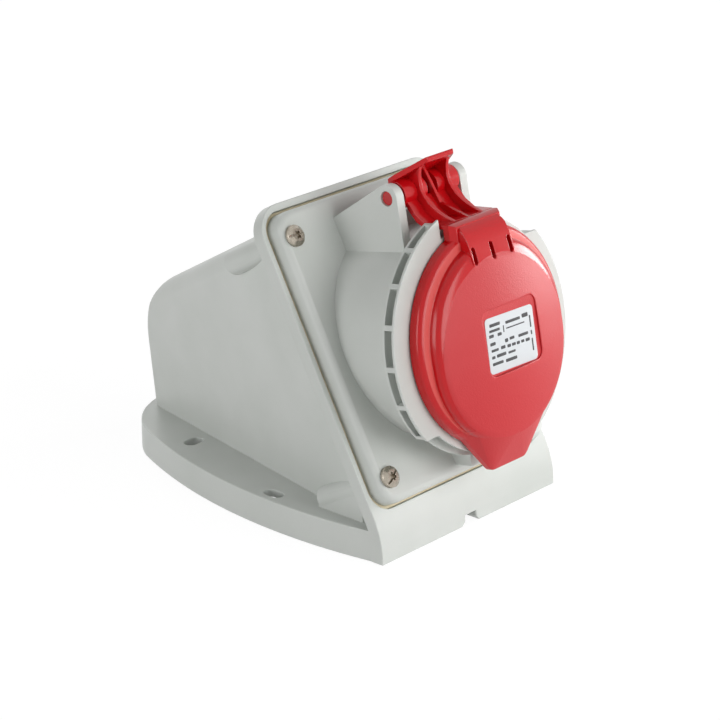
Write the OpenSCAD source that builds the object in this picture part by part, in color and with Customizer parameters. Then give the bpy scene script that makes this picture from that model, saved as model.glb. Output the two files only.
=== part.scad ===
// Surface-mounting industrial power socket with a sprung hinged lid, four poles.
// Millimetres. +Z leaves the wall, -Y is the side the socket faces, X is the symmetry axis.
// The origin is the middle of the base's underside.

/* [Wall box] */
// Width of the frame and of the base's front edge
frame_w = 94.6; // [88:0.2:110]
// Height of the opening in the frame
opening_h = 108.5; // [104:0.1:120]
// Wall of the frame beside the opening
rim_wall = 2.2; // [1.6:0.1:4]
// Depth of the frame behind its front edge
rim_d = 5; // [5:0.1:9]
// Lean of the front plate away from the vertical, degrees
plate_tilt = 29.4; // [25:0.1:34]
// Opening's lower edge behind the base's front edge
foot_y = 4.5; // [3:0.1:8]
// Opening's lower edge above the underside
foot_z = 17.2; // [16:0.1:22]
// Wall of the box
wall_t = 3; // [2:0.1:4]
// Length of the base
base_len = 148.6; // [146:0.2:160]
// Height of the base flange
flange_h = 11.2; // [9:0.1:14]
// Half width of the flange at its widest
flange_half = 51; // [49:0.2:60]
// Radius where the frame's front turns into the apron
foot_r = 32; // [24:0.5:34]
// Radius of the flange's rear end
rear_r = 38; // [34:0.5:42]
// Half width of the hood at the frame
hood_half = 44.9; // [43:0.1:47]
// Draft of the hood's sides, degrees
hood_taper = 13.8; // [11:0.1:15]
// Hood's rear wall behind the base's front edge
rear_wall_y = 142; // [139:0.5:143]
// Radius where the roof turns into the rear wall
roof_r = 34; // [28:0.5:38]
// Radius along the roof's side edges
roof_edge_r = 7; // [5:0.5:10]
// Width of the fixing slots
slot_w = 4.8; // [4:0.1:5.6]
// Length of the fixing slots
slot_l = 8; // [7:0.1:9]

/* [Front plate] */
// Gap between the plate and the frame
plate_gap = 1.2; // [0.8:0.1:1.6]
// Rise of the plate's face over the frame
plate_rise = 6; // [5:0.1:8]
// Wall of the plate and its fittings
plate_t = 2.6; // [2:0.1:3.2]
// Rounding along the plate's edge
plate_edge_r = 2.5; // [1.5:0.1:3]
// Thickness of the plate's gasket
gasket_t = 2.6; // [2:0.1:3.4]
// Plate screws in from the plate's long sides
screw_in = 4.5; // [4.3:0.1:5.5]
// Plate screws in from the plate's ends
screw_end = 9.15; // [8:0.05:12]
// Radius of a plate screw's thread
screw_r = 2; // [1.5:0.05:2.2]

/* [Socket] */
// Rise of the socket's axis over the horizontal, degrees
axis_tilt = 12; // [9:0.1:15]
// Lid's base ahead of the base's front edge
collar_out = 4; // [2:0.1:6]
// Lid's base centre above the underside
collar_z = 72.4; // [70:0.1:76]
// Outer radius of the barrel
barrel_r = 37.8; // [37:0.1:38.4]
// Inner radius of the plug's sleeve
sleeve_r = 31; // [30:0.1:31.6]
// Wall of the plug's sleeve
sleeve_t = 2.4; // [2:0.1:2.8]
// Length of the plug's sleeve
sleeve_l = 50; // [46:0.5:54]
// Radius of the guard ring's front edge
ring_r = 45.3; // [44:0.1:47]
// Length of the guard ring
ring_l = 6.3; // [5.6:0.1:7]
// Windows in each guard segment
ring_windows = 6; // [4:1:8]

/* [Lid and hinge] */
// Radius of the lid's rim
lid_r = 38; // [37:0.1:38.6]
// Height of the lid's face over its rim
lid_h = 13; // [12:0.1:14]
// Radius of the lid's domed face
dome_r = 127; // [110:1:160]
// Gap between the closed lid and the collar
lid_gap = 0.35; // [0.3:0.01:0.6]
// Hinge pin above the socket's axis
pin_v = 51.4; // [51:0.1:53]
// Hinge pin behind the lid's rim
pin_s = 17.9; // [17:0.1:19]
// Radius of the hinge pin
pin_r = 2.5; // [2:0.1:2.8]
// Running clearance round the hinge pin
pin_clear = 0.06; // [0.03:0.01:0.1]
// Outer faces of the hinge cheeks from the middle
cheek_x = 18.6; // [18:0.1:20]
// Thickness of a hinge cheek
cheek_t = 3.9; // [3.4:0.1:4]
// Gap beside the lid's knuckles
knuckle_gap = 0.5; // [0.35:0.05:0.7]
// Wire radius of the closing spring
wire_r = 0.5; // [0.4:0.05:0.55]
// Radius of the closing spring's coils
coil_r = 3.4; // [3.3:0.05:3.5]
// Turns of the closing spring
spring_turns = 4; // [3:1:4]

/* [Contacts] */
// Radius of the contacts' pitch circle
pitch_r = 14.5; // [13.5:0.1:15]
// Radius of a phase contact's bore
phase_r = 3.05; // [2.6:0.05:3.2]
// Radius of the earth contact's bore
earth_r = 4.05; // [3.6:0.05:4.2]
// Wall of a contact tube
tube_t = 1.35; // [1.1:0.05:1.5]
// Radius of the contact carrier's boss
boss_r = 22.5; // [22:0.1:23]
// Boss face behind the lid's rim
boss_s = 9; // [8:0.1:12]

/* [Hidden] */
$fn = 96;
e = 0.01;
opening_w = frame_w - 2*rim_wall;
frame_top = opening_h + 2.7;
frame_r = 11.5;
foot_d = 13;
front_in = 5;
tangent_gap = 0.15;
seat_d = gasket_t + 1.2;
roof_v = opening_h - 4.6;
opening_r = 8;
mid_y = 45.3;
rear_cy = base_len - rear_r;
side_r = (pow(rear_cy - mid_y, 2) + pow(flange_half, 2) - pow(rear_r, 2))/(2*(flange_half - rear_r));
side_x = side_r - flange_half;
tan_k = (rear_cy - mid_y)/(side_r - rear_r);
front_wall_y = 10.5;
plate_w = opening_w - 2*plate_gap;
plate_h = opening_h - 2*plate_gap;
plate_w0 = gasket_t - seat_d;
screw_dx = plate_w - 2*screw_in;
screw_dv = plate_h - 2*screw_end;
plate_r = opening_r - plate_gap;
under_w = plate_rise - plate_t;
pillar_r = 4.5;
pillar_l = 27;
head_r = 3.8;
head_h = 2.4;
pillar_tip = 7;
screw_l = plate_rise + pillar_l - pillar_tip;
collar_s = -lid_gap;
ring_s = collar_s - ring_l;
ring_wall = 1.15;
bore_r = barrel_r - plate_t;
core_r = barrel_r + 1.2;
cut_x = 13.7;
cut_v = 27.9;
web_v = pin_v - 8.1;
web_s = pin_s + 9.1;
cheek_in = cheek_x - cheek_t;
cheek_r = 4.7;
pin_in = 0.8;
knuckle_x = cheek_in - knuckle_gap;
mid_rib = 0.7;
coil_gap = 0.45;
coil_x = mid_rib + coil_gap + wire_r;
coil_pitch = 2*wire_r - 0.06;
knuckle_in = coil_x + wire_r + coil_gap;
knuckle_r = 5;
pocket_r = coil_r + wire_r + 0.35;
pocket_x = coil_x + (spring_turns - 1)*coil_pitch + wire_r + 0.35;
rib_x = 8;
rib_t = 1.6;
web_x = cut_x - knuckle_gap;
pad_x = 11;
pad_r = 4;
pad_h = 24;
pad_top = 3;
pad_in = lid_r - 10.5;
// Pin side of the hinge ribs, from the lever down to the rim
rib_back = [[pin_v + 6, -pin_s - 1.6], [pin_v, -pin_s], [pin_v - 4.8, -pin_s + 3.7],
    [pin_v - 9.4, -pin_s + 6.9], [lid_r + 1.5, -7.2], [lid_r + 1.5, 0], [lid_r, 3]];
face_r = lid_r - 6.4;
face_v = 3.4;
step_r = lid_r - 4.6;
ledge_s = 4.9;
seal_r = step_r;
seal_in = step_r - 4.4;
seal_d = 2.4;
cavity_r = seal_in - 1.5;
lid_t = 2.6;
label_d = 1.6;
label_w = 28.4;
label_h = 22.8;
vent_l = 6;
vent_w = 1.7;
vent_dx = 9.4;
sleeve_s = collar_s - sleeve_l;
tube_gap = 0.1;
flange_t = 4;
cover_t = 5;
screw_at = sleeve_r + sleeve_t + 1.6;
boss_l = 8;
tip_gap = 2.5;
tail_l = 15;
grommet_r = 10;
lip_r = 13;
grommet_z = flange_h + lip_r + 0.8;
front_slot = [flange_half - 5.5, 52.4];
rear_slot = [rear_r - 7.5, base_len - 42];
slot_top = 3;
grey = "#d3d6d1";
red = "#c3161c";

// A point of the side view from plate coordinates
function side_pt(v, w) = [foot_y + v*sin(plate_tilt) - w*cos(plate_tilt),
    foot_z + v*cos(plate_tilt) + w*sin(plate_tilt)];

// Places children measured from the base's front edge
module placed() { translate([0, -base_len/2, 0]) children(); }

// Plate frame: X across, Y up the plate, Z out of it
module on_plate() {
    placed() translate([0, foot_y, foot_z]) rotate([90 - plate_tilt, 0, 0]) children();
}

// Socket frame: X across, Y up, Z out along the axis, zero at the lid's rim
module on_axis() {
    placed() translate([0, -collar_out, collar_z]) rotate([90 - axis_tilt, 0, 0]) children();
}

// Extrudes a side view, drawn as up and along the axis, across X between two places
module across(x0, x1) {
    translate([x0, 0, 0]) rotate([90, 0, 90]) linear_extrude(x1 - x0) children();
}

// Extrudes a front-edge side view across the whole width
module slab(w) { placed() rotate([90, 0, 90]) linear_extrude(w, center = true) children(); }

// Rectangle with rounded corners
module round_rect(w, h, r) {
    square([w - 2*r, h], center = true);
    square([w, h - 2*r], center = true);
    for (x = [-1, 1], y = [-1, 1]) translate([x*(w/2 - r), y*(h/2 - r)]) circle(r);
}

// Rounded block with a rounded upper edge, standing on zero
module pan(w, h, r, er, t) {
    linear_extrude(t - er) round_rect(w, h, r);
    linear_extrude(t) round_rect(w - 2*er, h - 2*er, r - er);
    for (x = [-1, 1]) translate([x*(w/2 - er), 0, t - er]) rotate([90, 0, 0])
        cylinder(r = er, h = h - 2*r, center = true);
    for (y = [-1, 1]) translate([0, y*(h/2 - er), t - er]) rotate([0, 90, 0])
        cylinder(r = er, h = w - 2*r, center = true);
    for (x = [-1, 1], y = [-1, 1]) translate([x*(w/2 - r), y*(h/2 - r), t - er])
        rotate_extrude() translate([r - er, 0]) circle(er, $fn = 32);
}

// Outline of the base, drawn in by an inset
module base_plan(inset) {
    placed() intersection() {
        translate([side_x, mid_y]) circle(side_r - inset, $fn = 240);
        translate([-side_x, mid_y]) circle(side_r - inset, $fn = 240);
        union() {
            translate([-80, front_in]) square([160, mid_y - front_in + tan_k*(side_r - inset)]);
            translate([0, rear_cy]) circle(rear_r + tangent_gap - inset);
        }
    }
}

// Side view of the hood, drawn in by an inset; the inside one starts at the gasket's seat
module hood_view(inset) {
    cy = rear_wall_y - roof_r;
    w = (foot_y + (roof_v - roof_r)*sin(plate_tilt) - cy)/cos(plate_tilt);
    c = side_pt(roof_v - roof_r, w);
    r = roof_r - inset;
    front = inset > 0 ? -seat_d + 0.5 : -1;
    low = inset > 0 ? inset : 0;
    y0 = inset > 0 ? front_wall_y : 6;
    v0 = (y0 - foot_y + front*cos(plate_tilt))/sin(plate_tilt);
    polygon([[y0, low], side_pt(v0, front), side_pt(roof_v - inset, front),
        side_pt(roof_v - inset, w), c, [cy + r, c[1]], [cy + r, low]]);
    translate(c) circle(r);
}

// Half space beside one sloping hood wall, its roof edge rounded
module hood_side(inset) {
    r = roof_edge_r - inset/2;
    h = roof_v - inset + 80;
    on_plate() translate([-hood_half, 0, 0]) rotate([0, -hood_taper, 0])
        translate([inset, -80, -230]) linear_extrude(250) union() {
            square([140, h - r]);
            translate([r, 0]) square([140 - r, h]);
            translate([r, h - r]) circle(r);
        }
}

// Hood as a solid, drawn in by an inset
module hood(inset) {
    intersection() {
        slab(130) hood_view(inset);
        hood_side(inset);
        mirror([1, 0, 0]) hood_side(inset);
    }
}

// The four plate screw places, in the plate frame
module at_screws(list = [0, 1, 2, 3]) {
    for (i = list) on_plate()
        translate([(i % 2 == 0 ? -1 : 1)*screw_dx/2, opening_h/2 + (i < 2 ? -1 : 1)*screw_dv/2, 0])
            children();
}

// Slot outline, long along X
module slot_shape(l, w) {
    square([l - w, w], center = true);
    for (x = [-1, 1]) translate([x*(l - w)/2, 0]) circle(w/2, $fn = 32);
}

// Side view of the frame and apron, the bend between their fronts rounded
module frame_view() {
    foot_v = -foot_y/sin(plate_tilt);
    bend = side_pt(foot_v, 0);
    run = foot_r*tan(plate_tilt/2);
    low = flange_h - 1;
    low_v = (low - foot_z + rim_d*sin(plate_tilt))/cos(plate_tilt);
    polygon([[0, 0], [0, bend[1] - run], side_pt(foot_v + run, 0), side_pt(frame_top + 5, 0),
        side_pt(frame_top + 5, -rim_d), side_pt(low_v, -rim_d), [foot_d, low], [foot_d, 0]]);
    intersection() {
        translate([foot_r, bend[1] - run]) circle(foot_r, $fn = 240);
        polygon([[0, bend[1] - run], bend, side_pt(foot_v + run, 0), [foot_d/2, bend[1]]]);
    }
}

// Frame and apron: a leaning slab with a foot, its upper corners rounded
module frame_slab() {
    intersection() {
        slab(frame_w + 10) frame_view();
        on_plate() translate([0, 0, -80]) linear_extrude(160) union() {
            translate([-frame_w/2, -80]) square([frame_w, 80 + frame_top - frame_r]);
            translate([-frame_w/2 + frame_r, -80]) square([frame_w - 2*frame_r, 80 + frame_top]);
            for (x = [-1, 1]) translate([x*(frame_w/2 - frame_r), frame_top - frame_r])
                circle(frame_r);
        }
    }
}

// Webs that carry the lower screw pillars down to the flange
module pillar_webs() {
    v = opening_h/2 - screw_dv/2;
    p = side_pt(v, -pillar_l);
    q = side_pt(v, -seat_d + 0.5);
    w = pillar_r - 0.4;
    for (x = [-1, 1]) translate([x*screw_dx/2, 0, 0]) slab(2*w)
        polygon([p, q, [q[0], flange_h - 1], [p[0], flange_h - 1]]);
}

module fixing_slots() {
    for (x = [-1, 1]) placed() {
        translate([x*front_slot[0], front_slot[1], -1]) linear_extrude(flange_h + 2)
            rotate([0, 0, 90]) slot_shape(slot_l, slot_w);
        translate([x*rear_slot[0], rear_slot[1], -1]) linear_extrude(flange_h + 2)
            slot_shape(slot_l, slot_w);
    }
}

module wall_box() {
    color(grey) difference() {
        union() {
            difference() {
                union() {
                    linear_extrude(flange_h) base_plan(0);
                    hood(0);
                    frame_slab();
                }
                hood(wall_t);
                difference() {
                    translate([0, 0, -1]) linear_extrude(flange_h - slot_top + 1) base_plan(wall_t);
                    hood(0);
                    placed() translate([-80, -5, -2]) cube([160, foot_d + 5, 30]);
                }
            }
            at_screws() translate([0, 0, -pillar_l])
                cylinder(r = pillar_r, h = pillar_l - seat_d + 0.5, $fn = 48);
            difference() {
                pillar_webs();
                hood(wall_t);
            }
        }
        on_plate() translate([0, opening_h/2, -seat_d]) linear_extrude(60)
            round_rect(opening_w, opening_h, opening_r);
        at_screws() translate([0, 0, -pillar_l + 3])
            cylinder(r = screw_r + 0.05, h = pillar_l, $fn = 32);
        fixing_slots();
        placed() translate([0, -1, -1]) rotate([-90, 0, 0]) linear_extrude(13.5)
            polygon([[-4.6, 1.1], [-4.6, -1], [-2.8, -3], [-2.8, -4.9], [2.8, -4.9], [2.8, -3],
                [4.6, -1], [4.6, 1.1]]);
        placed() translate([0, rear_wall_y - 12, grommet_z]) rotate([-90, 0, 0])
            cylinder(r = grommet_r, h = 30);
    }
}

module plate_gasket() {
    color("#d8cfb8") difference() {
        on_plate() translate([0, opening_h/2, -seat_d]) linear_extrude(gasket_t) difference() {
            round_rect(opening_w - 0.4, opening_h - 0.4, opening_r - 0.2);
            round_rect(opening_w - 10, opening_h - 10, opening_r - 5);
        }
        at_screws() translate([0, 0, -20]) cylinder(r = screw_r + 0.3, h = 40, $fn = 32);
    }
}

// Everything below the plate's inner face, to trim what stands on the plate
module below_plate() { on_plate() translate([-120, -120, -300]) cube([240, 400, 300 + under_w]); }

// One guard segment's side of the cut lines, left one; d widens it to leave end walls
module guard_zone(d = 0) {
    translate([-70, -cut_v + d]) square([70 - cut_x - d, 120]);
}

// Left guard segment: two flanges, ribs and end walls between them
module guard_segment() {
    a0 = 90 + asin(cut_x/ring_r);
    a1 = 180 + asin(cut_v/ring_r);
    step = (a1 - a0)/ring_windows;
    rear = ring_r - 1.05;
    translate([0, 0, collar_s - ring_wall]) linear_extrude(ring_wall) intersection() {
        circle(ring_r);
        guard_zone();
    }
    translate([0, 0, ring_s]) linear_extrude(ring_wall) intersection() {
        circle(rear);
        guard_zone();
    }
    translate([0, 0, ring_s]) linear_extrude(ring_l) intersection() {
        circle(rear);
        difference() {
            guard_zone();
            guard_zone(1.5);
        }
    }
    translate([0, 0, ring_s]) linear_extrude(ring_l) intersection() {
        circle(rear);
        for (i = [1 : ring_windows - 1]) rotate([0, 0, a0 + i*step])
            translate([0, -1]) square([60, 2]);
    }
}

module collar() {
    translate([0, 0, ring_s]) cylinder(r = core_r, h = ring_l);
    difference() {
        union() {
            translate([0, 0, collar_s - ring_wall]) cylinder(r = core_r + 1.5, h = ring_wall);
            translate([0, 0, ring_s]) cylinder(r = core_r + 3, h = ring_wall);
        }
        translate([-cut_x, 20, ring_s - 1]) cube([2*cut_x, 60, ring_l + 2]);
    }
    for (a = [0, 180]) rotate([0, 0, a]) guard_segment();
}

// Side view of a hinge cheek: a sloping top from the plate to the round end at the pin
module cheek_view() {
    front = -pin_s + cheek_r;
    polygon([[28, -60], [pin_v - 7.5, -pin_s - 28.1], [pin_v + cheek_r*0.92, -pin_s - cheek_r*0.39],
        [pin_v, -pin_s], [pin_v, front], [28, front]]);
    translate([pin_v, -pin_s]) circle(cheek_r);
}

// The two carrier screw places, in the socket frame
module at_carrier_screws() {
    for (a = [45, 225]) rotate([0, 0, a]) translate([screw_at, 0, 0]) children();
}

module carrier_bosses() {
    at_carrier_screws() translate([0, 0, sleeve_s]) cylinder(r = 4, h = boss_l, $fn = 48);
}

module socket_housing() {
    color(grey) difference() {
        union() {
            difference() {
                on_plate() translate([0, opening_h/2, plate_w0])
                    pan(plate_w, plate_h, plate_r, plate_edge_r, plate_rise - plate_w0);
                on_plate() translate([0, opening_h/2, plate_w0 - 1])
                    linear_extrude(under_w - plate_w0 + 1) round_rect(plate_w - 11, plate_h - 11, 3);
            }
            difference() {
                on_axis() union() {
                    translate([0, 0, -70]) cylinder(r = barrel_r, h = 70 + ring_s + 1);
                    collar();
                    for (m = [0, 1]) mirror([m, 0, 0]) across(-cheek_x, -cheek_in) cheek_view();
                    across(-cheek_in - 1, cheek_in + 1)
                        polygon([[34, -web_s - 3], [web_v, -web_s - 3], [web_v, -web_s], [34, -web_s]]);
                    translate([-7, -46, -40]) cube([14, 12, 40 + ring_s - 1.5]);
                }
                below_plate();
            }
            on_axis() translate([0, 0, sleeve_s]) cylinder(r = sleeve_r + sleeve_t, h = sleeve_l);
            on_axis() carrier_bosses();
            on_axis() translate([-6.5, -36.6, sleeve_s]) cube([13, 8, sleeve_l]);
        }
        on_axis() {
            difference() {
                translate([0, 0, -90]) cylinder(r = bore_r, h = 90 + collar_s - plate_t);
                translate([0, 0, sleeve_s]) cylinder(r = sleeve_r + sleeve_t, h = sleeve_l);
                carrier_bosses();
                translate([-6.5, -36.6, sleeve_s]) cube([13, 8, sleeve_l]);
            }
            translate([0, 0, sleeve_s - 20]) cylinder(r = sleeve_r, h = sleeve_l + 40);
            translate([-4.3, -34.6, sleeve_s + 5]) cube([8.6, 8, sleeve_l + 10]);
            at_carrier_screws() translate([0, 0, sleeve_s - 1])
                cylinder(r = 1.55, h = boss_l - 1, $fn = 32);
            translate([0, pin_v, -pin_s]) rotate([0, 90, 0])
                cylinder(r = pin_r + pin_clear, h = 80, center = true, $fn = 64);
        }
        at_screws() translate([0, 0, -20]) cylinder(r = screw_r + 0.25, h = 60, $fn = 32);
    }
}

// Pan-head screw with a star and slot recess, head seat at zero, thread downwards
module pan_screw(r, hr, hh, l) {
    difference() {
        union() {
            translate([0, 0, -l]) cylinder(r = r, h = l + e, $fn = 48);
            cylinder(r = hr, h = hh*0.55, $fn = 48);
            translate([0, 0, hh*0.55]) cylinder(r1 = hr, r2 = hr*0.62, h = hh*0.45, $fn = 48);
        }
        translate([0, 0, hh*0.4]) linear_extrude(hh) union() {
            circle(hr*0.3, $fn = 32);
            for (a = [0 : 60 : 300]) rotate([0, 0, a]) translate([hr*0.3, 0]) circle(hr*0.1, $fn = 16);
        }
        translate([0, 0, hh*0.62 + 0.5]) cube([hr*2.2, hr*0.2, 1], center = true);
    }
}

module plate_screw(i) {
    color("#b5b1a8") at_screws([i]) translate([0, 0, plate_rise])
        rotate([0, 0, 35 + 70*i]) pan_screw(screw_r, head_r, head_h, screw_l);
}
module plate_screw_1() { plate_screw(0); }
module plate_screw_2() { plate_screw(1); }
module plate_screw_3() { plate_screw(2); }
module plate_screw_4() { plate_screw(3); }

// Height of the lid's domed face at a radius
function dome(r) = lid_h - r*r/(2*dome_r);

// Half profile of the lid's raised face over a floor, its shoulder rounded
function face_profile(floor_s) = concat([[0, floor_s]], [for (r = [0 : 2 : 30]) [r, dome(r)]],
    [[face_r, dome(face_r)], [step_r - 0.9, ledge_s + 3.5], [step_r - 0.3, ledge_s + 2.8],
    [step_r - 0.05, ledge_s + 2.1], [step_r + 0.05, ledge_s + 1.1]]);

// Stepped disc, the lower face that sits a little below the axis, and the slope to the tab
module lid_disc() {
    rotate_extrude() polygon(concat(face_profile(0), [[step_r + 0.2, ledge_s + 0.4],
        [step_r + 0.6, ledge_s + 0.1], [lid_r - 1.9, ledge_s], [lid_r - 1, ledge_s - 0.4],
        [lid_r - 0.3, ledge_s - 1.1], [lid_r, ledge_s - 1.9], [lid_r, 0]]));
    translate([0, -face_v, 0]) rotate_extrude()
        polygon(concat(face_profile(1), [[step_r, 1]]));
    hull() {
        translate([0, -face_v - 3, ledge_s]) cylinder(r = face_r - 3, h = dome(face_r) - ledge_s);
        translate([0, -face_v - 1.4, 0.4]) cylinder(r = step_r - 0.4, h = 3);
        translate([0, -lid_r + 16.4, 0.4]) cylinder(r = 20, h = 4.4);
        for (x = [-1, 1]) translate([x*7.6, -lid_r - 4.6, 0.4]) cylinder(r = 3.6, h = 2.4, $fn = 32);
    }
}

// A point of a cubic curve through its first and last control point
function curve(c, k) = pow(1 - k, 3)*c[0] + 3*k*pow(1 - k, 2)*c[1] + 3*k*k*(1 - k)*c[2] + k*k*k*c[3];

// Side view of an outer rib: a hollow front curve from the pad to the lever
module rib_view() {
    front = [[lid_r + 2.2, 3.9], [lid_r + 5.8, -6.4], [pin_v - 2, -pin_s + 2.6],
        [pin_v + 9.4, -pin_s + 7.7]];
    polygon(concat([for (k = [0 : 0.1 : 1]) curve(front, k)], [[pin_v + 7.6, -pin_s + 2.9]], rib_back));
}

// Side view of the middle rib: lower, bent once, ending under the lever
module mid_view() {
    polygon(concat([[lid_r + 2.2, 3.6], [pin_v - 5.3, -pin_s + 7.7], [pin_v + 6.7, -pin_s + 2.5]],
        rib_back));
}

// Pad on the rim that carries the ribs: curved down from the face, upper corners rounded
module lid_pad() {
    top = [[pad_in, dome(pad_in)], [pad_in + 5.5, dome(pad_in) - 0.9], [lid_r + 0.6, 8.2],
        [lid_r + 2.2, 3.9]];
    intersection() {
        across(-pad_x - 1, pad_x + 1) polygon(concat([[pad_in - 3.5, dome(pad_in - 3.5) - 1]],
            [for (k = [0 : 0.125 : 1]) curve(top, k)],
            [[lid_r + 2.6, 2.4], [lid_r + 2.8, 0.4], [lid_r - 1, 0.4], [pad_in + 2.5, 3],
            [pad_in - 3.5, 6]]));
        translate([0, lid_r + pad_top - pad_h/2, 0]) linear_extrude(lid_h)
            round_rect(2*pad_x, pad_h, pad_r);
    }
}

// Arm: pad and shoulder on the rim, web, three ribs, two knuckles and the thumb lever
module lid_arm() {
    lid_pad();
    hull() {
        translate([-web_x, lid_r - 5, 0.4]) cube([2*web_x, 8, 2.6]);
        translate([1.6 - web_x, lid_r - 5, 0.4]) cube([2*web_x - 3.2, 7, ledge_s - 0.2]);
    }
    across(-web_x, web_x) polygon([[lid_r + 3.1, 1], [lid_r + 3.2, -1], [lid_r + 3.6, -6.8],
        [pin_v - 6.9, -pin_s + 7.4], [pin_v - 2.8, -pin_s + 4.6], [pin_v - 1.4, -pin_s + 3.4],
        [pin_v - 4.8, -pin_s + 3.7], [pin_v - 9.4, -pin_s + 6.9], [lid_r + 1.5, -7.2],
        [lid_r + 1.5, 1]]);
    across(-rib_x, -rib_x + rib_t) rib_view();
    across(rib_x - rib_t, rib_x) rib_view();
    across(-mid_rib, mid_rib) union() {
        mid_view();
        translate([pin_v, -pin_s]) circle(knuckle_r - 0.2);
    }
    for (x = [-1, 1]) translate([x*(knuckle_x + knuckle_in)/2, pin_v, -pin_s]) rotate([0, 90, 0])
        cylinder(r = knuckle_r, h = knuckle_x - knuckle_in, center = true);
    intersection() {
        across(-knuckle_x, knuckle_x) polygon([[pin_v + 5.9, -pin_s - 2.2], [pin_v + 11.8, -pin_s + 10.2],
            [pin_v + 10.9, -pin_s + 10.7], [pin_v + 9.9, -pin_s + 10.4], [pin_v + 4.2, -pin_s - 1.6],
            [pin_v + 4.2, -pin_s - 2.2]]);
        translate([0, pin_v - 1.4, 0]) rotate([-90, 0, 0]) linear_extrude(20)
            polygon([[-knuckle_x, pin_s + 3.1], [-knuckle_x, pin_s - 0.4], [-7.4, pin_s - 9.9],
                [-6.4, pin_s - 10.9], [6.4, pin_s - 10.9], [7.4, pin_s - 9.9],
                [knuckle_x, pin_s - 0.4], [knuckle_x, pin_s + 3.1]]);
    }
}

module lid() {
    color(red) on_axis() difference() {
        union() {
            lid_disc();
            lid_arm();
        }
        rotate_extrude() polygon([[0, -1], [cavity_r, -1], [cavity_r, 7], [20, dome(20) - lid_t],
            [10, dome(10) - lid_t], [0, dome(0) - lid_t]]);
        translate([0, 0, -1]) cylinder(r = seal_in, h = 1.6);
        translate([0, 0, -1]) difference() {
            cylinder(r = seal_r, h = seal_d + 1);
            translate([0, 0, -1]) cylinder(r = seal_in, h = 6);
        }
        translate([1.2, -0.6, lid_h - label_d]) linear_extrude(4) round_rect(label_w, label_h, 3);
        for (x = [-1, 0, 1]) translate([x*vent_dx, face_r - 2.1, ledge_s]) linear_extrude(10)
            rotate([0, 0, 90]) slot_shape(vent_l, vent_w);
        translate([0, pin_v, -pin_s]) rotate([0, 90, 0]) {
            cylinder(r = pin_r, h = 80, center = true, $fn = 64);
            translate([0, 0, -pocket_x]) cylinder(r = pocket_r, h = pocket_x - mid_rib);
            translate([0, 0, mid_rib]) cylinder(r = pocket_r, h = knuckle_in - mid_rib);
        }
    }
}

module lid_gasket() {
    color("#3a3a3a") on_axis() difference() {
        cylinder(r = seal_r - 0.2, h = seal_d);
        translate([0, 0, -1]) cylinder(r = seal_in + 0.2, h = seal_d + 2);
    }
}

module hinge_pin() {
    color(red) on_axis() translate([0, pin_v, -pin_s]) rotate([0, 90, 0])
        cylinder(r = pin_r, h = 2*(cheek_x - pin_in), center = true, $fn = 64);
}

// Closing spring: closed coils and the leg that rests on the housing's web
module lid_spring() {
    leg_a = atan((pin_v - web_v - coil_r - wire_r)/(web_s - pin_s + 1.6));
    color("#9a9a98") on_axis() translate([-coil_x, pin_v, -pin_s]) {
        rotate([0, -90, 0]) rotate_extrude() for (i = [0 : spring_turns - 1])
            translate([coil_r, i*coil_pitch]) circle(wire_r, $fn = 24);
        translate([0, -coil_r, 0]) rotate([180 - leg_a, 0, 0])
            cylinder(r = wire_r - 0.08, h = web_s - pin_s + 2, $fn = 24);
    }
}

// Contact numbers: 0 to 2 are the phases, 3 is the earth at the bottom
function contact_r(i) = i == 3 ? earth_r : phase_r;
function tube_r(i) = contact_r(i) + tube_t;
module at_contact(i) { rotate([0, 0, 180 - 90*i]) translate([pitch_r, 0, 0]) children(); }
back_s = sleeve_s - flange_t;

// Plan of a disc with two screw ears and their holes
module eared_disc(r, ear_r) {
    difference() {
        union() {
            circle(r);
            at_carrier_screws() circle(ear_r, $fn = 48);
        }
        at_carrier_screws() circle(1.8, $fn = 32);
    }
}

module contact_carrier() {
    color("#55585a") on_axis() difference() {
        union() {
            translate([0, 0, back_s]) linear_extrude(flange_t) eared_disc(sleeve_r + sleeve_t, 4);
            translate([0, 0, back_s]) cylinder(r = sleeve_r - 0.1, h = flange_t + 4);
            translate([0, 0, back_s]) cylinder(r = boss_r, h = -boss_s - back_s);
        }
        for (i = [0 : 3]) at_contact(i)
            translate([0, 0, back_s - 1]) cylinder(r = tube_r(i) + tube_gap, h = 80, $fn = 64);
    }
}

module carrier_cover() {
    color("#d9d9d4") on_axis() difference() {
        translate([0, 0, back_s - cover_t]) linear_extrude(cover_t) difference() {
            eared_disc(sleeve_r, 4.4);
            for (i = [0 : 3]) at_contact(i) circle(1.42*tube_r(i) + 0.2, $fn = 64);
        }
        for (i = [0 : 3]) at_contact(i)
            translate([0, 0, back_s - 2]) cylinder(r = 1.42*tube_r(i) + 1.3, h = 5, $fn = 64);
    }
}

module contact(i) {
    front = -boss_s - (i == 3 ? 4.2 : 7.2);
    tail_s = back_s - 2 - tail_l;
    r = tube_r(i);
    color("#c8a24c") on_axis() at_contact(i) difference() {
        union() {
            translate([0, 0, back_s - 1]) cylinder(r = r, h = front - back_s + 1, $fn = 64);
            translate([0, 0, back_s - 2]) cylinder(r = 1.42*r + 1.2, h = 2, $fn = 64);
            translate([-r, -r, tail_s]) cube([2*r, 2*r, tail_l + 1]);
        }
        translate([0, 0, front - 34]) cylinder(r = contact_r(i), h = 40, $fn = 64);
        translate([-10, -0.4, front - 16]) cube([20, 0.8, 20]);
        translate([0, 0, tail_s - 1]) cylinder(r = 2.4, h = 12, $fn = 48);
        translate([0, 0, tail_s + 5.5]) rotate([0, 90, 0]) cylinder(r = 1.55, h = 20, $fn = 32);
    }
}
module contact_l1() { contact(0); }
module contact_l2() { contact(1); }
module contact_l3() { contact(2); }
module contact_earth() { contact(3); }

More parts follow.
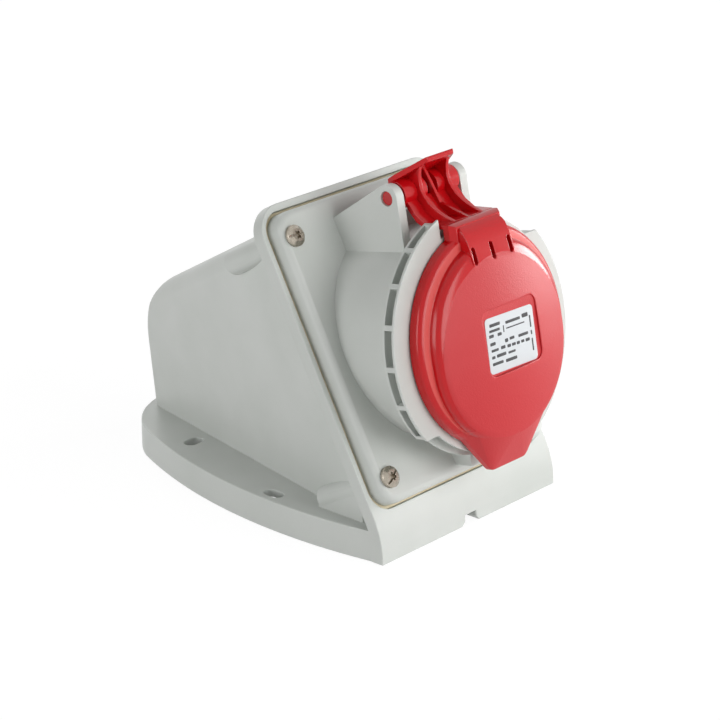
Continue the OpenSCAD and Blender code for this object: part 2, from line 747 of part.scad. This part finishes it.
module terminal_screw(i) {
    color("#b5b1a8") on_axis() at_contact(i)
        translate([tube_r(i), 0, back_s - 2 - tail_l + 5.5]) rotate([0, 90, 0])
            pan_screw(1.5, 2.6, 1.8, tube_r(i) - 2);
}
module terminal_screw_1() { terminal_screw(0); }
module terminal_screw_2() { terminal_screw(1); }
module terminal_screw_3() { terminal_screw(2); }
module terminal_screw_4() { terminal_screw(3); }

module carrier_screw(a) {
    color("#b5b1a8") on_axis() rotate([0, 0, a]) translate([screw_at, 0, back_s - cover_t])
        rotate([180, 0, 0]) pan_screw(1.5, 3, 2, flange_t + cover_t + boss_l - tip_gap);
}
module carrier_screw_1() { carrier_screw(45); }
module carrier_screw_2() { carrier_screw(225); }

module cable_grommet() {
    color("#4a4c4e") placed() translate([0, rear_wall_y, grommet_z]) rotate([-90, 0, 0])
        rotate_extrude() polygon([[0, -1.6], [grommet_r - 2.8, -1.6], [grommet_r - 2, 2.2],
            [lip_r - 0.4, 2.2], [lip_r, 1.8], [lip_r, 0], [grommet_r - 0.1, 0],
            [grommet_r - 0.1, -wall_t], [grommet_r + 1.4, -wall_t], [grommet_r + 0.4, -wall_t - 2],
            [0, -wall_t - 2]]);
}

wall_box();
plate_gasket();
socket_housing();
plate_screw_1();
plate_screw_2();
plate_screw_3();
plate_screw_4();
lid();
lid_gasket();
hinge_pin();
lid_spring();
contact_carrier();
carrier_cover();
contact_l1();
contact_l2();
contact_l3();
contact_earth();
terminal_screw_1();
terminal_screw_2();
terminal_screw_3();
terminal_screw_4();
carrier_screw_1();
carrier_screw_2();
cable_grommet();
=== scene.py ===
import math
import bpy
import numpy as np
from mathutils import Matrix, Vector


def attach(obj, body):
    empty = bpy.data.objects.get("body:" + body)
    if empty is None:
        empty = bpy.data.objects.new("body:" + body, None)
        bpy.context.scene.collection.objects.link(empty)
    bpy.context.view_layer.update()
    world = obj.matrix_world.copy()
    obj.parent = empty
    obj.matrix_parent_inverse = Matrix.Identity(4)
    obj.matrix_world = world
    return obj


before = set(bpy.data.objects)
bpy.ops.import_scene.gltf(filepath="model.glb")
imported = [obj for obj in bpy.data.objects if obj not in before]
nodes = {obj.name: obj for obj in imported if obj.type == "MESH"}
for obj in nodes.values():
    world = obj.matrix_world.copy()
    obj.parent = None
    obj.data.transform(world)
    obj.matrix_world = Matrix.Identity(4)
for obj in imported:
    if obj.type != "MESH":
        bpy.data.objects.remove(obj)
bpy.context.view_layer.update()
mm = 0.001
white = (1, 1, 1, 1)
print("frame loaded,", len(nodes), "nodes")

# Places that the source also holds, in millimetres and degrees
place = {
    "baseLength": 148.6, "collarOut": 4.0, "collarZ": 72.4, "axisTilt": 12.0,
    "lidHeight": 13.0, "labelDepth": 1.6,
}
tilt = math.radians(90 - place["axisTilt"])


def lidPoints(across, up, out):
    # lid coordinates (across, up, out along the socket's axis) turned by the tilt into the frame
    y = up * math.cos(tilt) - out * math.sin(tilt) - place["baseLength"] / 2 - place["collarOut"]
    z = up * math.sin(tilt) + out * math.cos(tilt) + place["collarZ"]
    return np.stack(np.broadcast_arrays(across, y, z), -1) * mm


def linear(hexText):
    # sRGB hex to linear RGBA
    c = np.array([int(hexText[i:i + 2], 16) for i in (1, 3, 5)]) / 255
    c = np.where(c <= 0.04045, c / 12.92, ((c + 0.055) / 1.055) ** 2.4)
    return (*c.tolist(), 1.0)


def addNode(tree, kind, values=None, links=None, **settings):
    # one node with its settings, the values of its sockets and its links
    node = tree.nodes.new(kind)
    for key, value in settings.items():
        setattr(node, key, value)
    for key, value in (values or {}).items():
        node.inputs[key].default_value = value
    for key, source in (links or {}).items():
        tree.links.new(source, node.inputs[key])
    return node


def emptyTree(owner):
    # the cleared node tree of a material or of the world
    owner.use_nodes = True
    owner.node_tree.nodes.clear()
    return owner.node_tree


def newLook(name):
    # an empty material, its tree and its Object coordinates
    material = bpy.data.materials.new(name)
    tree = emptyTree(material)
    return material, tree, addNode(tree, "ShaderNodeTexCoord").outputs["Object"]


def closeLook(tree, values, links):
    # the shader and the output that end a material
    shader = addNode(tree, "ShaderNodeBsdfPrincipled", values, links)
    addNode(tree, "ShaderNodeOutputMaterial", links={"Surface": shader.outputs[0]})


def ramp(start, end, low, high):
    # settings that carry start to low and end to high
    return {"From Min": start, "From Max": end, "To Min": low, "To Max": high}


# Shared by the plain looks: the noise's span from one tone to the other, its detail, the grain's bump
skin = {"cloudSpan": (0.3, 0.7), "cloudDetail": 3.0, "grainDetail": 2.0, "bump": 0.6}


def plainLook(name, look):
    # two tones and two roughnesses mixed by one cloud noise, with a bump from a finer grain
    material, tree, where = newLook(name)
    cloud = addNode(tree, "ShaderNodeTexNoise",
                    {"Scale": 1 / (look["cloudMm"] * mm), "Detail": skin["cloudDetail"]},
                    {"Vector": where}).outputs["Fac"]
    grain = addNode(tree, "ShaderNodeTexNoise",
                    {"Scale": 1 / (look["grainMm"] * mm), "Detail": skin["grainDetail"]},
                    {"Vector": where}).outputs["Fac"]
    share = addNode(tree, "ShaderNodeMapRange", ramp(*skin["cloudSpan"], 0, 1),
                    {"Value": cloud}).outputs[0]
    tone = addNode(tree, "ShaderNodeMix", {"A": linear(look["tones"][0]), "B": linear(look["tones"][1])},
                   {"Factor": share}, data_type="RGBA").outputs["Result"]
    rough = addNode(tree, "ShaderNodeMapRange", ramp(0, 1, *look["rough"]), {"Value": share}).outputs[0]
    relief = addNode(tree, "ShaderNodeBump", {"Strength": skin["bump"], "Distance": look["reliefMm"] * mm},
                     {"Height": grain}).outputs[0]
    values = {"Metallic": 1.0} if look.get("metal") else {"IOR": look["ior"]}
    closeLook(tree, values, {"Base Color": tone, "Roughness": rough, "Normal": relief})
    return material


# Red moulded polyamide: glossy rim and arm, matte on the round face, the ledge and the tab, whose eroded
# grain is drawn coarser than the real one so that it shows; the ledge's lighter tone is a painted sheen;
# lengths in mm from the rim's centre
redLook = {
    # the grained tone is pinker than the gloss: partly the grain's own colour, partly painted sheen
    "tone": "#c40d15", "grainAndSheenTone": "#c52a2f", "ledgePaintedSheen": "#dc5854",
    "gloss": 0.2, "matte": 0.43, "ior": 1.42,
    "tab": (-99, -29.0), "tabSoft": 2.0,
    # round zones: how far the middle is lowered, between which radii, between which heights
    "face": (3.8, (-1, 31.9), (7.9, 20)), "ledge": (0, (33.7, 36.3), (4.6, 5.3)),
    "radiusSoft": 0.2, "heightSoft": 0.15,
    "grainMm": 0.5, "grainDetail": 2.0, "reliefMm": 0.09, "bump": 0.8,
}


def within(tree, source, low, high, soft):
    # one between low and high, falling to nothing over the soft width, all in mm
    rise = addNode(tree, "ShaderNodeMapRange", ramp((low - soft) * mm, (low + soft) * mm, 0, 1),
                   {"Value": source})
    fall = addNode(tree, "ShaderNodeMapRange", ramp((high - soft) * mm, (high + soft) * mm, 1, 0),
                   {"Value": source})
    return addNode(tree, "ShaderNodeMath", links={0: rise.outputs[0], 1: fall.outputs[0]},
                   operation="MULTIPLY").outputs[0]


def lidRed():
    material, tree, where = newLook("moulded red polyamide, grained face")
    # object coordinates turned into the lid's own frame: across, up and out from the rim's centre
    moved = addNode(tree, "ShaderNodeVectorMath", {1: Vector(lidPoints(0, 0, 0))}, {0: where},
                    operation="SUBTRACT").outputs[0]
    up = addNode(tree, "ShaderNodeVectorMath", {1: (0, math.cos(tilt), math.sin(tilt))}, {0: moved},
                 operation="DOT_PRODUCT").outputs["Value"]
    out = addNode(tree, "ShaderNodeVectorMath", {1: (0, -math.sin(tilt), math.cos(tilt))}, {0: moved},
                  operation="DOT_PRODUCT").outputs["Value"]
    across = addNode(tree, "ShaderNodeSeparateXYZ", links={0: moved}).outputs[0]
    tab = within(tree, up, *redLook["tab"], redLook["tabSoft"])
    rounds = []
    for down, radii, heights in (redLook["face"], redLook["ledge"]):
        lowered = addNode(tree, "ShaderNodeMath", {1: down * mm}, {0: up}, operation="ADD").outputs[0]
        flat = addNode(tree, "ShaderNodeCombineXYZ", links={0: across, 1: lowered}).outputs[0]
        reach = addNode(tree, "ShaderNodeVectorMath", links={0: flat}, operation="LENGTH").outputs["Value"]
        inRing = within(tree, reach, *radii, redLook["radiusSoft"])
        inLayer = within(tree, out, *heights, redLook["heightSoft"])
        rounds.append(addNode(tree, "ShaderNodeMath", links={0: inRing, 1: inLayer},
                              operation="MULTIPLY").outputs[0])
    face, ledge = rounds
    front = addNode(tree, "ShaderNodeMath", links={0: tab, 1: face}, operation="MAXIMUM").outputs[0]
    grained = addNode(tree, "ShaderNodeMath", links={0: front, 1: ledge}, operation="MAXIMUM").outputs[0]
    # the grained face and tab are painted pinker, partly for their grain and partly as painted sheen
    tone = addNode(tree, "ShaderNodeMix", {"A": linear(redLook["tone"]), "B": linear(redLook["grainAndSheenTone"])},
                   {"Factor": front}, data_type="RGBA").outputs["Result"]
    # the ledge is painted lighter and pinker than the face: a painted sheen for the light its grain catches
    tone = addNode(tree, "ShaderNodeMix", {"B": linear(redLook["ledgePaintedSheen"])},
                   {"Factor": ledge, "A": tone}, data_type="RGBA").outputs["Result"]
    rough = addNode(tree, "ShaderNodeMapRange", ramp(0, 1, redLook["gloss"], redLook["matte"]),
                    {"Value": grained}).outputs[0]
    grain = addNode(tree, "ShaderNodeTexNoise",
                    {"Scale": 1 / (redLook["grainMm"] * mm), "Detail": redLook["grainDetail"]},
                    {"Vector": where}).outputs["Fac"]
    height = addNode(tree, "ShaderNodeMath", links={0: grain, 1: grained}, operation="MULTIPLY").outputs[0]
    relief = addNode(tree, "ShaderNodeBump",
                     {"Strength": redLook["bump"], "Distance": redLook["reliefMm"] * mm},
                     {"Height": height}).outputs[0]
    closeLook(tree, {"IOR": redLook["ior"]}, {"Base Color": tone, "Roughness": rough, "Normal": relief})
    return material


# Each look: two close tones, roughness range, cloud size, and the size and depth of the skin's grain,
# which is drawn coarser than the real one where that is too fine to show
finishes = {
    # light grey moulded ABS, an even satin skin with a spark-eroded grain
    "grey": ("moulded grey ABS", {"tones": ("#d2d5d1", "#cbcfca"), "rough": (0.38, 0.48), "cloudMm": 28,
                                  "grainMm": 0.45, "reliefMm": 0.02, "ior": 1.54}),
    # red polyamide of the pin, as glossy as the lid's rim
    "red": ("moulded red polyamide", {"tones": ("#bf161d", "#bb151b"), "rough": (0.2, 0.27), "cloudMm": 20,
                                      "grainMm": 0.4, "reliefMm": 0.004, "ior": 1.53}),
    # foam seal, open-pored and fully matte
    "cream": ("cream foam rubber", {"tones": ("#d9cfb4", "#cbbf9f"), "rough": (0.75, 0.9), "cloudMm": 4,
                                    "grainMm": 0.6, "reliefMm": 0.06, "ior": 1.5}),
    # pressed rubber, dull and a little uneven
    "rubber": ("black nitrile rubber", {"tones": ("#2b2b2b", "#353535"), "rough": (0.55, 0.7), "cloudMm": 6,
                                        "grainMm": 0.8, "reliefMm": 0.03, "ior": 1.5}),
    # barrel-plated screws, warm and lightly scuffed
    "nickel": ("nickel plated steel", {"tones": ("#b5ada0", "#9d9588"), "rough": (0.22, 0.36),
                                       "cloudMm": 1.5, "grainMm": 0.5, "reliefMm": 0.01, "metal": True}),
    # drawn wire, darker than the screws
    "wire": ("spring steel wire", {"tones": ("#8f8d88", "#7a7873"), "rough": (0.3, 0.4), "cloudMm": 2,
                                   "grainMm": 0.4, "reliefMm": 0.01, "metal": True}),
    # turned contacts, bright and yellow
    "brass": ("turned brass", {"tones": ("#d8b468", "#c39c4e"), "rough": (0.2, 0.3), "cloudMm": 3,
                               "grainMm": 0.6, "reliefMm": 0.01, "metal": True}),
    # inner mouldings, plain and half matte
    "carrier": ("dark grey polyamide", {"tones": ("#4a4d4f", "#424547"), "rough": (0.45, 0.55),
                                        "cloudMm": 8, "grainMm": 0.5, "reliefMm": 0.02, "ior": 1.53}),
    "cover": ("pale polyamide", {"tones": ("#d6d5cc", "#cbcac0"), "rough": (0.45, 0.55), "cloudMm": 8,
                                 "grainMm": 0.5, "reliefMm": 0.02, "ior": 1.53}),
    # sticker: smooth film with matte ink
    "film": ("white polyester film", {"tones": ("#d8dcdf", "#d3d7da"), "rough": (0.3, 0.38), "cloudMm": 9,
                                      "grainMm": 3, "reliefMm": 0.005, "ior": 1.55}),
    "ink": ("dark grey ink", {"tones": ("#2c2c2e", "#363638"), "rough": (0.5, 0.6), "cloudMm": 2,
                              "grainMm": 0.6, "reliefMm": 0.005, "ior": 1.5}),
}
looks = {key: plainLook(*finish) for key, finish in finishes.items()}
looks["lid"] = lidRed()
print("materials made:", len(looks))

# Edges: what counts as one point in a CAD node and in a grid, and as one flat; over which angle an outer
# edge is rounded, and over which an edge stays sharp
edges = {"nodeWeldMm": 0.01, "gridWeldMm": 0.001, "flatDegrees": 0.1,
         "roundDegrees": 38, "sharpDegrees": 28}


def newGroup(name):
    # an empty geometry group and the shape that comes into it
    group = bpy.data.node_groups.new(name, "GeometryNodeTree")
    for way in ("INPUT", "OUTPUT"):
        group.interface.new_socket("Geometry", in_out=way, socket_type="NodeSocketGeometry")
    return group, addNode(group, "NodeGroupInput").outputs[0]


def steepEdges(group, measure, degrees):
    # true for the edges whose faces meet at more than the angle
    angle = addNode(group, "GeometryNodeInputMeshEdgeAngle").outputs[measure]
    return addNode(group, "FunctionNodeCompare", {1: math.radians(degrees)}, {0: angle},
                   operation="GREATER_THAN").outputs[0]


def smoothGroup():
    # shades all faces smooth and keeps the steep edges sharp
    group, shape = newGroup("softShade")
    smooth = addNode(group, "GeometryNodeSetShadeSmooth", {"Shade Smooth": True}, {"Geometry": shape},
                     domain="FACE")
    sharp = steepEdges(group, "Unsigned Angle", edges["sharpDegrees"])
    keep = addNode(group, "GeometryNodeSetShadeSmooth", {"Shade Smooth": False},
                   {"Geometry": smooth.outputs[0], "Selection": sharp}, domain="EDGE")
    addNode(group, "NodeGroupOutput", links={0: keep.outputs[0]})
    return group


def outerGroup():
    # marks the steep outer edges for the bevel that follows; inner corners have a negative angle
    group, shape = newGroup("outerEdges")
    outer = steepEdges(group, "Signed Angle", edges["roundDegrees"])
    mark = addNode(group, "GeometryNodeStoreNamedAttribute", {"Name": "bevel_weight_edge"},
                   {"Geometry": shape, "Value": outer}, data_type="FLOAT", domain="EDGE")
    addNode(group, "NodeGroupOutput", links={0: mark.outputs[0]})
    return group


# Look and edge rounding of each CAD node: look, bevel in mm, bevel segments
dress = {
    "wall_box": ("grey", 0.5, 3), "socket_housing": ("grey", 0.3, 2), "plate_gasket": ("cream", 0, 0),
    "lid": ("lid", 0.3, 2), "hinge_pin": ("red", 0.3, 2), "lid_gasket": ("rubber", 0, 0),
    "lid_spring": ("wire", 0, 0), "contact_carrier": ("carrier", 0.4, 2),
    "carrier_cover": ("cover", 0.3, 2), "cable_grommet": ("rubber", 0.3, 2),
    # the screws and contacts are dressed by kind
    "screw": ("nickel", 0.08, 2), "contact": ("brass", 0.25, 2),
}
softShade = smoothGroup()
outerEdges = outerGroup()


def dressNode(name, look, bevelMm, segments):
    # look, joined points, rounded outer edges and soft shading of one CAD node
    node = nodes[name]
    node.data.materials.clear()
    node.data.materials.append(looks[look])
    weld = node.modifiers.new("weld", "WELD")
    weld.merge_threshold = edges["nodeWeldMm"] * mm
    if bevelMm:
        flat = node.modifiers.new("flat", "DECIMATE")
        flat.decimate_type = "DISSOLVE"
        flat.angle_limit = math.radians(edges["flatDegrees"])
        mark = node.modifiers.new("mark", "NODES")
        mark.node_group = outerEdges
        bevel = node.modifiers.new("edge", "BEVEL")
        bevel.width = bevelMm * mm
        bevel.segments = segments
        bevel.limit_method = "WEIGHT"
        bevel.use_clamp_overlap = False
        bevel.miter_outer = "MITER_ARC"
    shade = node.modifiers.new("shade", "NODES")
    shade.node_group = softShade
    # wide flat faces lead the shading of the rounded edges beside them
    lead = node.modifiers.new("lead", "WEIGHTED_NORMAL")
    lead.keep_sharp = True


for name in nodes:
    kind = "screw" if "screw" in name else "contact"
    dressNode(name, *dress.get(name, dress[kind]))
print("nodes dressed")


def putObject(name, data):
    # an object at the origin, linked to the scene
    thing = bpy.data.objects.new(name, data)
    bpy.context.scene.collection.objects.link(thing)
    return thing


def putMesh(name, grids, look, body):
    # each grid is an array of rows of points; neighbouring rows are joined by quads
    verts, faces, start = [], [], 0
    for grid in grids:
        rows, cols = grid.shape[:2]
        verts.append(grid.reshape(-1, 3))
        i = np.arange(rows * cols).reshape(rows, cols) + start
        quads = np.stack([i[:-1, :-1], i[:-1, 1:], i[1:, 1:], i[1:, :-1]], -1)
        faces.append(quads.reshape(-1, 4))
        start += rows * cols
    mesh = bpy.data.meshes.new(name)
    mesh.from_pydata(np.concatenate(verts).tolist(), [], np.concatenate(faces).tolist())
    mesh.materials.append(looks[look])
    piece = putObject(name, mesh)
    weld = piece.modifiers.new("weld", "WELD")
    weld.merge_threshold = edges["gridWeldMm"] * mm
    shade = piece.modifiers.new("shade", "NODES")
    shade.node_group = softShade
    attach(piece, body)


# Blank rating sticker in the lid's recess, a little turned, with plain dark bars
sticker = {"width": 25.4, "height": 19.2, "corner": 1.6, "sides": 64, "x": 0.7, "up": -1.85, "turn": -1.9,
           # the film's thickness, its gap to the recess, and its edge, which drops beyond the flat share
           "thick": 0.14, "gap": 0.02, "flatShare": 0.97, "edgeDrop": 0.03,
           # the bars' corners as a share of the smaller side, and how far they sink in and stand out
           "barCorner": 0.3, "barSides": 24, "barSink": 0.01, "barRise": 0.03,
           # each bar: left and right end, height of its middle, thickness
           "bars": [(-10.6, -5.0, 6.9, 1.1), (-11.0, -5.4, 5.0, 0.9), (-2.2, 5.7, 6.3, 1.0),
                    (6.6, 9.9, 6.6, 1.4), (-2.1, 7.7, 4.3, 0.45), (-3.7, -3.2, 4.5, 2.4),
                    (-11.4, -8.9, 3.3, 1.1), (-6.9, -4.7, 3.2, 1.1), (-11.3, -8.4, 0.6, 1.1),
                    (-3.5, -1.8, 0.3, 1.3), (-1.0, 1.6, 0.5, 1.0), (3.7, 9.0, 0.3, 1.0),
                    (-11.0, -7.2, -1.7, 0.9), (-6.0, -3.6, -1.6, 1.1), (-2.6, -0.7, -1.8, 1.1),
                    (-0.2, 1.9, -1.8, 1.0), (2.4, 4.1, -1.9, 1.1), (4.8, 6.5, -1.9, 1.0),
                    (7.2, 9.5, -2.0, 1.1), (-11.2, -9.4, -4.0, 1.0), (-8.6, -3.6, -3.9, 1.1),
                    (-2.5, 1.4, -4.1, 0.8), (-11.2, -5.5, -6.3, 1.0), (-4.3, 1.8, -6.5, 1.1),
                    (10.4, 11.1, 3.9, 4.2), (10.4, 11.1, 0.0, 1.5), (10.4, 11.1, -4.2, 4.4)]}


def roundBox(width, height, radius, count):
    # closed outline of a rounded rectangle: four quarter circles joined by straight sides
    a = np.linspace(0, 2 * np.pi, count, endpoint=False) + np.pi / count
    cx = np.sign(np.cos(a)) * (width / 2 - radius)
    cy = np.sign(np.sin(a)) * (height / 2 - radius)
    outline = np.stack([cx + radius * np.cos(a), cy + radius * np.sin(a)], -1)
    return np.concatenate([outline, outline[:1]])


def stickerPoints(flat, out):
    # flat sticker points turned, moved to their place on the lid and lifted out
    turn = math.radians(sticker["turn"])
    x = flat[..., 0] * math.cos(turn) - flat[..., 1] * math.sin(turn) + sticker["x"]
    up = flat[..., 0] * math.sin(turn) + flat[..., 1] * math.cos(turn) + sticker["up"]
    return lidPoints(x, up, out)


def slabGrid(outline, middle, bottom, top):
    # rings from the middle out over the top, round the edge, down the side and back under
    rings = [(0.0, top), (sticker["flatShare"], top), (1.0, top - sticker["edgeDrop"]), (1.0, bottom),
             (0.0, bottom)]
    return np.stack([stickerPoints(outline * share + middle, np.full(len(outline), out))
                     for share, out in rings])


def barGrid(left, right, up, thick):
    # a rounded slab about the bar's middle, sunk a little into the film
    corner = sticker["barCorner"] * min(thick, right - left)
    outline = roundBox(right - left, thick, corner, sticker["barSides"])
    return slabGrid(outline, ((left + right) / 2, up), filmTop - sticker["barSink"],
                    filmTop + sticker["barRise"])


filmBottom = place["lidHeight"] - place["labelDepth"] + sticker["gap"]
filmTop = filmBottom + sticker["thick"]
film = roundBox(sticker["width"], sticker["height"], sticker["corner"], sticker["sides"])
putMesh("rating_sticker", [slabGrid(film, (0, 0), filmBottom, filmTop)], "film", "lid")
putMesh("sticker_bars", [barGrid(*bar) for bar in sticker["bars"]], "ink", "lid")
print("sticker made")

# Camera on the photograph's line of sight; lengths in metres, the picture is 720 by 720
view = {"azimuth": -48.22, "elevation": 20.92, "distance": 0.99744, "target": (0, -0.0155, 0.04925),
        "picture": 720, "focalPixels": 2781.63, "centrePixels": (346.42, 352.94), "sensorMm": 36,
        "clip": (0.01, 20)}


def aim(thing, direction):
    # turns a camera or a lamp to look along the direction
    thing.rotation_mode = "QUATERNION"
    thing.rotation_quaternion = direction.to_track_quat("-Z", "Y")


azimuth, elevation = math.radians(view["azimuth"]), math.radians(view["elevation"])
back = Vector((math.sin(azimuth) * math.cos(elevation), -math.cos(azimuth) * math.cos(elevation),
               math.sin(elevation)))
camera = putObject("camera", bpy.data.cameras.new("camera"))
camera.location = Vector(view["target"]) + back * view["distance"]
aim(camera, -back)
camera.data.sensor_width = view["sensorMm"]
camera.data.lens = view["sensorMm"] * view["focalPixels"] / view["picture"]
camera.data.shift_x = (view["picture"] / 2 - view["centrePixels"][0]) / view["picture"]
camera.data.shift_y = (view["centrePixels"][1] - view["picture"] / 2) / view["picture"]
camera.data.clip_start, camera.data.clip_end = view["clip"]
bpy.context.scene.camera = camera

# Soft studio: a big lamp in front, smaller ones right, left and behind; pale floor, white surround
studio = {
    # each lamp: place in metres, side of its square, power in watts
    "lamps": {"keyLamp": ((0.15, -1.5, 0.6), 1.0, 12.4), "rightLamp": ((1.3, -0.6, 0.18), 0.45, 10.0),
              "leftLamp": ((-1.25, 0.3, 0.35), 0.8, 6.8), "backLamp": ((0.5, 1.1, 0.7), 0.8, 4.0)},
    "lampsAimAt": (0, 0, 0.06),
    # unseen light of the surround: its bright side, the span over which it falls off and its two levels
    "brightSide": (0.55, -0.5, -0.35), "fallOff": (-0.7, 0.8), "levels": (0.08, 0.62),
    # floor: half its side, its gap under the part, its card, and the share and strength of its white
    "floorHalf": 6.0, "floorGap": 0.0003, "card": "#f4f4f4", "whiteShare": 0.85, "whiteStrength": 1.09,
}
for name, (where, size, power) in studio["lamps"].items():
    data = bpy.data.lights.new(name, "AREA")
    data.shape = "SQUARE"
    data.size = size
    data.energy = power
    lamp = putObject(name, data)
    lamp.location = where
    aim(lamp, Vector(studio["lampsAimAt"]) - Vector(where))


def seenShare(tree):
    # one for rays that show the surround: straight to the camera, mirrored or let through
    path = addNode(tree, "ShaderNodeLightPath").outputs
    mirrored = addNode(tree, "ShaderNodeMath", operation="MAXIMUM",
                       links={0: path["Is Glossy Ray"], 1: path["Is Transmission Ray"]})
    return addNode(tree, "ShaderNodeMath", operation="MAXIMUM",
                   links={0: path["Is Camera Ray"], 1: mirrored.outputs[0]}).outputs[0]


world = bpy.data.worlds.new("white surround")
bpy.context.scene.world = world
tree = emptyTree(world)
# unseen light falls off from the right-hand horizon to the left and the zenith
facing = addNode(tree, "ShaderNodeVectorMath", {1: studio["brightSide"]},
                 {0: addNode(tree, "ShaderNodeTexCoord").outputs["Generated"]}, operation="DOT_PRODUCT")
dim = addNode(tree, "ShaderNodeMapRange", ramp(*studio["fallOff"], *studio["levels"]),
              {"Value": facing.outputs["Value"]})
level = addNode(tree, "ShaderNodeMix", {"B": 1.0}, {"Factor": seenShare(tree), "A": dim.outputs[0]})
surround = addNode(tree, "ShaderNodeBackground", {"Color": white}, {"Strength": level.outputs[0]})
addNode(tree, "ShaderNodeOutputWorld", links={"Surface": surround.outputs[0]})

# Floor: white card that keeps a faint shadow and shows the surround's white to the camera
floorLook = bpy.data.materials.new("white card")
tree = emptyTree(floorLook)
share = addNode(tree, "ShaderNodeMath", {1: studio["whiteShare"]}, {0: seenShare(tree)},
                operation="MULTIPLY")
card = addNode(tree, "ShaderNodeBsdfDiffuse", {"Color": linear(studio["card"])})
glow = addNode(tree, "ShaderNodeEmission", {"Color": white, "Strength": studio["whiteStrength"]})
mixed = addNode(tree, "ShaderNodeMixShader",
                links={0: share.outputs[0], 1: card.outputs[0], 2: glow.outputs[0]})
addNode(tree, "ShaderNodeOutputMaterial", links={"Surface": mixed.outputs[0]})
half, low = studio["floorHalf"], -studio["floorGap"]
floorMesh = bpy.data.meshes.new("floor")
floorMesh.from_pydata([(-half, -half, low), (half, -half, low), (half, half, low), (-half, half, low)],
                      [], [(0, 1, 2, 3)])
floorMesh.materials.append(floorLook)
floor = putObject("floor", floorMesh)
bpy.context.scene.view_settings.view_transform = "Standard"
print("camera, lamps and floor ready")
